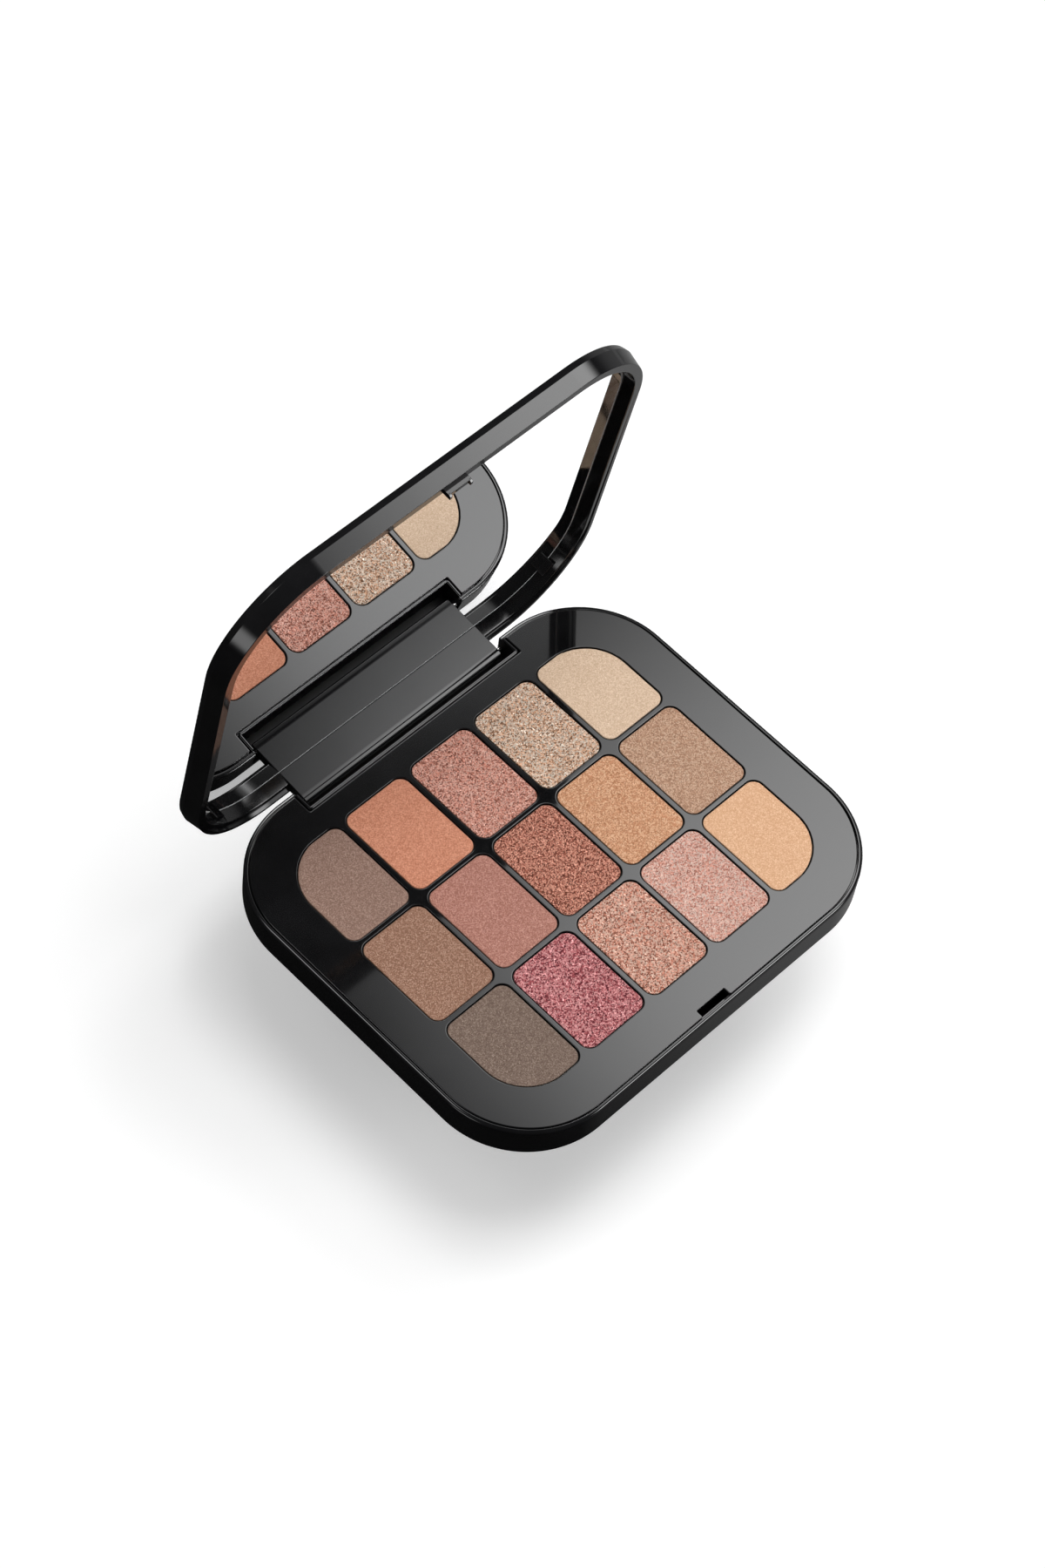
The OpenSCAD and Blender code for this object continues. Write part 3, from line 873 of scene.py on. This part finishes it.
@dataclass
class PanTray:
    """Tray plate with fifteen wells.

    The flat faces start face_in inside the plate's sides, lip_out outside a well and cup_out
    outside its cup. nook is the radius where the plate steps round the notch and the pocket.
    """

    sizes: CaseSizes
    finish: Material
    hole: float = 0.3
    well_wall: float = 0.8
    well_floor: float = 4.1
    well_under: float = 3.3
    lip: float = 0.12
    edge: float = 0.18
    face_in: float = 0.3
    lip_out: float = 0.25
    cup_out: float = 0.1
    nook: float = 0.35

    def build(self) -> None:
        """Rounded edges are carried round the outline and each opening; flat faces join them."""
        s, top, under = self.sizes, self.sizes.tray_z, self.sizes.ledge_z
        inset = s.base_wall + s.tray_gap
        x, y = s.width / 2 - inset, s.depth / 2 - inset
        r, room = s.corner - inset, s.notch_wall + s.tray_gap
        back, front = s.depth / 2 - s.notch_d - room, -s.depth / 2 + s.base_wall + s.pocket_d
        c, n, p = self.nook, s.notch_half + room, s.pocket_half
        outer = Outline.of([(-p, -y, c), (-p, front, c), (p, front, c), (p, -y, c), (x, -y, r),
                            (x, y, r), (n, y, c), (n, back, c), (-n, back, c), (-n, y, c),
                            (-x, y, r), (-x, -y, r)], 32)
        plan = Plan("shade_tray")
        plan.sweep(outer, profile([(self.face_in, under, 0), (0, under, 0), (0, top, self.edge),
                                   (self.face_in, top, 0)], 6, 0.04), False, False)
        well_line = profile([(-self.lip_out, top, 0), (0, top, self.lip), (0, self.well_floor, 0),
                             (0.2, self.well_floor, 0)], 5, 0.04)
        cup_line = profile([(0.4, self.well_under, 0), (0, self.well_under, 0.3), (0, under, 0),
                            (-self.cup_out, under, 0)], 4)
        tops, unders = [], []
        for col, row in product(range(5), range(3)):
            well = s.cell(col, row, self.hole)
            plan.sweep(well, well_line, False, True)
            tops.append(well.inset(-self.lip_out))
            cup = s.cell(col, row, self.hole + self.well_wall)
            plan.sweep(cup, cup_line, True, False)
            unders.append(cup.inset(-self.cup_out))
        plan.sheet_with_holes(outer.inset(self.face_in), tops, top, True)
        plan.sheet_with_holes(outer.inset(self.face_in), unders, under, False)
        dress(plan.build(50), self.finish, "base", "tray_satin", "pan_tray")


@dataclass
class PanAndShade:
    """A thin metal pan and the powder pressed into it.

    crowd_y and crowd_x tell how close the grid's rows and points come together at the ends, 1
    being the most. speck and cloud are the sizes of the fine and slow noise in mm, and cell
    names the row and column.
    """

    sizes: CaseSizes
    metal: Material
    col: int
    row: int
    shade: Shade
    cell: str
    pan_under: float = 4.1
    pan_top: float = 8.7
    wall: float = 0.2
    cake_top: float = 9.0
    crown: float = 0.22
    across: int = 112
    along: int = 150
    crowd_y: float = 0.88
    crowd_x: float = 0.8
    speck: float = 0.30
    cloud: float = 3.5
    seed: ClassVar[int] = 100

    def build_pan(self) -> None:
        """The pan: one line down the outside, over the edge and down the inside."""
        plan = Plan(f"pan_{self.cell}_metal")
        z0, z1, t = self.pan_under, self.pan_top, self.wall
        line = profile([(0.6, z0, 0), (0, z0, 0.35), (0, z1, 0.08), (t, z1, 0.08),
                        (t, z0 + t, 0.15), (0.6, z0 + t, 0)], 4, 0.03)
        plan.sweep(self.sizes.cell(self.col, self.row, self.wall), line)
        dress(plan.build(50), self.metal, "base", "pan_metal", f"pan_{self.cell}")

    def surface(self) -> tuple[Array, Array, Array]:
        """Grid over the cake between its rounded sides.

        Rows run from front to back, close together at both ends. Each row goes from the left
        side to the right one, where a corner of radius r draws the side in by
        r - sqrt(r^2 - (r - d)^2) at distance d < r from the end. The height falls by the same
        law with the crown's radius near the edge, and the relief is slow and fine noise.
        """
        s, look = self.sizes, LOOKS[self.shade.press]
        w, d = s.cake_w, s.cake_d
        t, u = np.linspace(0, 1, self.along), np.linspace(0, 1, self.across)
        y = d * (t - self.crowd_y * np.sin(2 * np.pi * t) / (2 * np.pi)) - d / 2
        u = u - self.crowd_x * np.sin(2 * np.pi * u) / (2 * np.pi)
        radii = s.radii(self.col, self.row)

        def drawn_in(low: float, high: float) -> Array:
            """How far one side is drawn in at each row."""
            a = np.clip(low - (y + d / 2), 0, low)
            b = np.clip(high - (d / 2 - y), 0, high)
            return low - np.sqrt(low ** 2 - a ** 2) + high - np.sqrt(high ** 2 - b ** 2)

        left = -w / 2 + drawn_in(radii[0], radii[3])
        right = w / 2 - drawn_in(radii[1], radii[2])
        gx = left[:, None] + (right - left)[:, None] * u
        gy = np.broadcast_to(y[:, None], gx.shape).copy()
        r = np.where(gy < 0, np.where(gx < 0, radii[0], radii[1]),
                     np.where(gx < 0, radii[3], radii[2]))
        qx, qy = np.abs(gx) - (w / 2 - r), np.abs(gy) - (d / 2 - r)
        outside = np.hypot(np.maximum(qx, 0), np.maximum(qy, 0))
        inside = np.clip(-(np.minimum(np.maximum(qx, qy), 0) + outside - r), 0, None)
        near = np.clip(self.crown - inside, 0, self.crown)
        drop = self.crown - np.sqrt(self.crown ** 2 - near ** 2)
        rng = np.random.default_rng(self.seed + 10 * self.row + self.col)
        fine = value_noise(rng, gx, gy, self.speck + look.flake)
        slow = value_noise(rng, gx, gy, self.cloud)
        relief = look.relief * (np.clip(2 - fine, 0, 4) * 0.5 + np.clip(2 - slow, 0, 4) * 0.4)
        gz = self.cake_top - drop - relief * (1 - near / self.crown)
        cx, cy = s.cell_centre(self.col, self.row)
        return gx + cx, gy + cy, gz

    def build_cake(self) -> None:
        """The powder: its surface, its side and its underside."""
        gx, gy, gz = self.surface()
        top = np.stack([gx, gy, gz], -1).reshape(-1, 3)
        faces = grid_faces(*gx.shape)[:, [0, 3, 2, 1]].tolist()
        index = np.arange(gx.size).reshape(gx.shape)
        ring = np.concatenate([index[0], index[1:, -1], index[-1, -2::-1], index[-2:0:-1, 0]])
        low = top[ring].copy()
        low[:, 2] = self.pan_under + self.wall
        foot = gx.size + np.arange(len(ring))
        side = np.stack([foot, np.roll(foot, -1), np.roll(ring, -1), ring], -1)
        name = f"shade_{self.cell}"
        plan = Plan(f"{name}_powder")
        plan.add(np.concatenate([top, low]), faces + side.tolist() + [foot[::-1].tolist()])
        dress(plan.build(60), self.shade.make(f"powder_{self.cell}"), "base", name, name)


@dataclass
class Hinge:
    """The two steel pins."""

    sizes: CaseSizes
    steel: Material
    inner: float = 25.7
    outer: float = 37.6
    diameter: float = 1.4

    def build(self) -> None:
        """Each pin is a circle carried along the hinge line, with eased ends."""
        s, length = self.sizes, self.outer - self.inner
        ring = Outline.circle(self.diameter)
        ring = Outline(ring.points + [s.hinge_y, s.hinge_z], ring.normals)
        for x0, name in ((-self.outer, "hinge_pin_left"), (self.inner, "hinge_pin_right")):
            plan = Plan(f"{name}_steel")
            plan.sweep(ring, rod(length, 0.15, 0.3 * self.diameter, 4), turn=along_x(x0))
            dress(plan.build(50), self.steel, "base", "pin_steel", name)


@dataclass
class LidCase:
    """Lid shell with its hinge tongue, corner lugs and latch hook.

    plate_in is where the outer plate's line ends. lug is the size of a corner lug: outwards,
    across and up. hook_cheek is the width of the hook's cheeks, beside its slot.
    """

    sizes: CaseSizes
    finish: Material
    flare: float = 0.8
    band: float = 1.8
    lean: float = 0.4
    edge_round: float = 0.55
    rim_round: float = 0.15
    inner_round: float = 0.25
    step_in: float = 1.1
    rim_width: float = 2.4
    mirror_inset: float = 2.9
    plate_in: float = 9.0
    tongue_half: float = 30.7
    foot_z: float = 3.6
    hook_half: float = 3.3
    hook_t: float = 1.3
    hook_len: float = 2.0
    hook_fit: float = 0.35
    hook_cheek: float = 0.7
    lug: tuple[float, float, float] = (1.6, 4.0, 2.0)

    def shell(self, plan: Plan) -> None:
        """Inner plate, drafted inner wall, rim, leaning outer wall, edge and outer plate.

        Towards the back the outer part of the rim reaches down by the dip; the part that is
        further in than the base's wall stays level.
        """
        s, outline, low = self.sizes, self.sizes.outline(), self.sizes.lid_z
        line = profile([
            (self.mirror_inset, s.plate_z, 0), (self.mirror_inset, s.mirror_z, 0),
            (self.rim_width, low, self.inner_round), (self.step_in + 0.01, low, 0),
            (self.step_in, low, 0), (0, low, self.rim_round),
            (-0.08, low + 0.4, 0.05), (-self.flare, s.lid_top - self.band, 0.12),
            (self.lean - self.flare, s.lid_top, self.edge_round),
            (self.plate_in, s.lid_top, 0)], 10)
        lines = np.repeat(line[None], len(outline.points), 0)
        step = int(np.argmax(np.abs(line[:, 0] - self.step_in) < TINY))
        moves = (np.arange(len(line)) > step) & (line[:, 1] < low + 0.3)
        lines[:, moves, 1] -= s.dip(outline.points[:, 1])[:, None]
        plan.sweep(outline, lines)

    def tongue(self, plan: Plan) -> None:
        """The tongue's side view carried along the hinge line."""
        s = self.sizes
        back, half = s.depth / 2, self.tongue_half
        inner = back - self.mirror_inset
        side = Outline.of([(back, s.mirror_z + 0.5, 0.2), (inner, s.mirror_z + 0.5, 0.2),
                           (inner, self.foot_z + 1.5, 8.0), (inner + 0.14, self.foot_z + 0.4, 0.6),
                           (inner + 0.3, self.foot_z, 0.4), (back, self.foot_z, 1.15)], 16, 0.02)
        plan.sweep(side, rod(2 * half, 0.14, 0.15, 3, 0.05), turn=along_x(-half))

    def lugs(self, plan: Plan) -> None:
        """A small block across each inner corner."""
        s, (out, across, high) = self.sizes, self.lug
        block = Outline.box(out, across, [0.25] * 4,
                            (s.corner - self.mirror_inset - 0.1, 0.0), 4)
        low = s.mirror_z - high
        line = profile([(0.2, low, 0), (0, low, 0.15), (0, s.mirror_z, 0), (0.2, s.mirror_z, 0)],
                       3, 0.05)
        for sx, sy in product((-1, 1), repeat=2):
            centre = np.array([sx * (s.width / 2 - s.corner), sy * (s.depth / 2 - s.corner)])
            ray = np.array([sx, sy]) / math.sqrt(2)
            axes = np.array([ray, [-ray[1], ray[0]]])
            plan.sweep(Outline(centre + block.points @ axes, block.normals @ axes), line)

    def hook(self, plan: Plan) -> None:
        """The hook's side view carried across, in two cheeks and a web that leave its slot."""
        s = self.sizes
        y0 = -s.depth / 2 + s.base_wall + self.hook_fit
        y1, z0, z1 = y0 + self.hook_t, s.lid_z - self.hook_len, s.mirror_z - 0.3
        half, cheek = self.hook_half, self.hook_cheek
        body = [(y0, z0 + 0.6), (y1, z0 + 0.6), (y1, z1), (y0, z1)]
        tip = [(y0, z0 + 0.5), (y0 + 0.4, z0), (y1, z0), (y1, z0 + 1.0), (y0, z0 + 1.0)]
        for side, x0, width in ((body, -half, 2 * half), (tip, -half, cheek),
                                (tip, half - cheek, cheek)):
            plan.sweep(Outline.of([(y, z, 0.1) for y, z in side], 4, 0.06),
                       rod(width, 0.08, 0.1, 3, 0.02), turn=along_x(x0))

    def build(self) -> None:
        """The whole moulding, swung open."""
        plan = Plan("lid_case", self.sizes.swing)
        self.shell(plan)
        self.tongue(plan)
        self.lugs(plan)
        self.hook(plan)
        dress(plan.build(35), self.finish, "lid", "case_gloss", "lid_shell")


@dataclass
class Mirror:
    """Mirror plate with a ground edge."""

    sizes: CaseSizes
    silver: Material
    ground: Material
    inset: float = 3.05
    edge: float = 0.36

    def build(self) -> None:
        """The case outline drawn in; a thin ring beside the face is the ground bevel."""
        s = self.sizes
        z, e, o = s.mirror_z, self.edge, s.outline(self.inset)
        plan = Plan("lid_mirror", s.swing)
        plan.sweep(o, np.array([(e * 3, z), (e, z), (e, z + 0.25), (0.1, z + 0.35),
                                (0, s.glue_z), (0.5, s.glue_z)]))
        dress(plan.build(25), self.silver, "lid", "mirror", "mirror")
        ring = Plan("mirror_ground_edge", s.swing)
        ring.sweep(o, np.array([(e, z + 0.3), (e, z - 0.02), (e * 0.5, z - 0.02), (-0.08, z),
                                (-0.08, z + 0.5), (0.09, z + 0.3), (e, z + 0.3)]), False, False)
        dress(ring.build(40), self.ground, "lid", "mirror")


# ---- floor, light and camera


@dataclass(frozen=True)
class Softbox:
    """A rectangular lamp: where its middle is, its size, and its radiance there.

    A soft lamp fades towards its edges; gloss tells whether it is mirrored in shiny parts.
    """

    name: str
    middle: Colour
    width: float
    height: float
    radiance: float
    soft: bool = True
    gloss: bool = True
    reach: ClassVar[float] = 1.4

    def place(self) -> None:
        """Aim the lamp at the palette. Power is radiance * pi * area."""
        lamp = bpy.data.lights.new(self.name, "AREA")
        lamp.shape = "RECTANGLE"
        lamp.size, lamp.size_y = self.width, self.height
        lamp.energy = self.radiance * math.pi * self.width * self.height
        if self.soft:
            self.fade(lamp)
        obj = into_scene(self.name, lamp)
        way = Vector(self.middle).normalized()
        turn = way.to_track_quat("Z", "Y").to_matrix().to_4x4()
        obj.matrix_world = Matrix.Translation(self.middle) @ turn
        obj.visible_glossy = self.gloss
        log.info("%s placed", self.name)

    def fade(self, lamp: Light) -> None:
        """Strength is exp(-a^4 - b^4), where a and b run over the lamp from -reach to reach."""
        lay, whole = Nodes.on(lamp), 2 * self.reach
        flat = lay.add("NewGeometry").outputs["Parametric"]
        off = lay.vector("MULTIPLY", lay.vector("SUBTRACT", flat, (0.5, 0.5, 0.0)),
                         (whole, whole, 0.0))
        square = lay.vector("MULTIPLY", off, off)
        fourth = lay.vector("DOT_PRODUCT", square, square)
        glow = lay.math("POWER", math.e, lay.math("MULTIPLY", fourth, -1.0))
        lay.add("OutputLight", Surface=lay.white("Emission", glow))


@dataclass
class Studio:
    """Pale floor, soft lamps, white surround and the camera."""

    floor_z: float = -0.040
    floor_half: float = 3.0
    paper: float = 0.85
    glow: float = 0.30
    far_glow: float = 0.75
    shadow_ends: tuple[float, float] = (0.11, 0.17)
    dark_ends: tuple[float, float] = (-0.03, 0.12)
    dark_greys: tuple[float, float] = (0.015, 0.35)
    surround_greys: tuple[float, float] = (0.03, 0.26)
    boxes: tuple[Softbox, ...] = (
        Softbox("key_softbox", (0.419, 0.02, 0.622), 0.72, 0.50, 3.2),
        Softbox("side_softbox", (0.455, -0.405, 0.518), 0.40, 0.36, 0.6),
        Softbox("top_lamp", (0.04, -0.04, 1.0), 0.42, 0.42, 8.0, False, False),
        Softbox("front_softbox", (0.437, -0.727, 0.530), 0.50, 0.42, 6.5),
        Softbox("left_softbox", (-0.961, -0.03, 0.276), 0.50, 0.40, 1.5),
        Softbox("back_softbox", (-0.411, 0.31, 0.857), 0.60, 0.40, 3.0),
        Softbox("right_wall", (0.99, 0.30, 0.10), 1.6, 1.2, 0.22),
    )

    def seen(self, lay: Nodes) -> Socket:
        """1 for what the camera sees, itself or in the mirror."""
        path = lay.add("LightPath").outputs
        first = lay.math("LESS_THAN", path["Glossy Depth"], 1.5)
        return lay.math("MAXIMUM", path["Is Camera Ray"],
                        lay.math("MULTIPLY", path["Is Singular Ray"], first))

    def floor(self) -> None:
        """A wide sheet: white to the eye with the palette's shadow, dark to the case's gloss.

        Past shadow_ends the sheet is evenly white. To the gloss it carries a painted shade that
        grows paler from the middle of the palette towards the right, over dark_ends, from one
        grey to the other.
        """
        mesh = bpy.data.meshes.new("floor")
        r, z = self.floor_half, self.floor_z
        mesh.from_pydata([(-r, -r, z), (r, -r, z), (r, r, z), (-r, r, z)], [], [(0, 1, 2, 3)])
        obj = into_scene("floor", mesh)
        material = bpy.data.materials.new("floor_paper")
        lay = Nodes.on(material)
        coord = lay.add("TexCoord").outputs["Object"]
        paper = lay.add("BsdfDiffuse", Color=(self.paper,) * 3).outputs[0]
        sheet = lay.mix(lay.span(lay.vector("LENGTH", coord), *self.shadow_ends), paper,
                        lay.white("Emission", self.far_glow))
        pale = lay.add("AddShader", i0=sheet, i1=lay.white("Emission", self.glow)).outputs[0]
        # Painted shade in reflections: shiny parts see the sheet dark on the left, paler to the
        # right.
        right = lay.span(lay.add("SeparateXYZ", Vector=coord).outputs[0], *self.dark_ends)
        tone = lay.blend(right, *((grey,) * 3 for grey in self.dark_greys))
        dark = lay.add("BsdfDiffuse", Color=tone).outputs[0]
        lay.add("OutputMaterial", Surface=lay.mix(self.seen(lay), dark, pale))
        mesh.materials.append(material)

    def surround(self) -> None:
        """White to the camera and in the mirror, soft grey as light, nearly black to gloss."""
        world = bpy.data.worlds.new("studio")
        bpy.context.scene.world = world
        lay = Nodes.on(world)
        plain, gloss, soft = (lay.white("Background", s) for s in (1.0, *self.surround_greys))
        other = lay.mix(lay.add("LightPath").outputs["Is Glossy Ray"], soft, gloss)
        lay.add("OutputWorld", Surface=lay.mix(self.seen(lay), other, plain))

    def camera(self) -> None:
        """The camera's place and its right, down and forward directions."""
        right = Vector((0.71158035, -0.69703553, 0.08828856))
        down = Vector((-0.55678003, -0.63606689, -0.53424237))
        ahead = Vector((0.42854334, 0.33099907, -0.84070817))
        data = bpy.data.cameras.new("view")
        data.lens, data.sensor_width = 88.921, 36.0
        data.clip_start, data.clip_end = 0.01, 20.0
        obj = into_scene("view", data)
        turn = Matrix((right, -down, -ahead)).transposed().to_4x4()
        obj.matrix_world = Matrix.Translation((-0.36645912, -0.27028935, 0.74369197)) @ turn
        bpy.context.scene.camera = obj

    def build(self) -> None:
        """Place everything."""
        self.camera()
        self.floor()
        self.surround()
        for box in self.boxes:
            box.place()
        bpy.context.scene.view_settings.view_transform = "Standard"


def main() -> None:
    """Build the palette and the studio."""
    logging.basicConfig(level=logging.INFO, format="%(name)s: %(message)s")
    make_flake_group()
    make_grain_group()
    make_handling_group()
    sizes = CaseSizes()
    Studio().build()
    black = (0.004, 0.004, 0.0045)
    gloss = MouldedPlastic(black, 0.055, 0.03, 1.0).make("case_black_gloss")
    satin = MouldedPlastic((0.003, 0.003, 0.0034), 0.045, 0.02, 1.0, 0.01).make("tray_black")
    # The pan metal is tinted near black: painted shade for the narrow slot round each cake.
    tin = Metal((0.06, 0.055, 0.05), 0.45).make("pan_tin_painted_shade")
    steel = Metal((0.62, 0.61, 0.60), 0.22).make("pin_drawn_steel")
    frosted = MouldedPlastic(black, 0.45, 0.05, 0.5).make("case_black_matt")
    BaseCase(sizes, gloss, frosted).build()
    PanTray(sizes, satin).build()
    for row, (row_name, shades) in enumerate(SHADES.items()):
        for col, shade in enumerate(shades):
            pan = PanAndShade(sizes, tin, col, row, shade, f"{row_name}_{col + 1}")
            pan.build_pan()
            pan.build_cake()
    Hinge(sizes, steel).build()
    LidCase(sizes, gloss).build()
    silver = Silvering((0.96, 0.965, 0.97)).make("mirror_silver")
    Mirror(sizes, silver, Milky((0.85, 0.87, 0.87)).make("mirror_ground_glass")).build()
    glue = Milky((0.75, 0.73, 0.68)).make("mirror_glue")
    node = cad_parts["mirror_adhesive"]
    node.data.materials.clear()
    node.data.materials.append(glue)


if __name__ == "__main__":
    main()
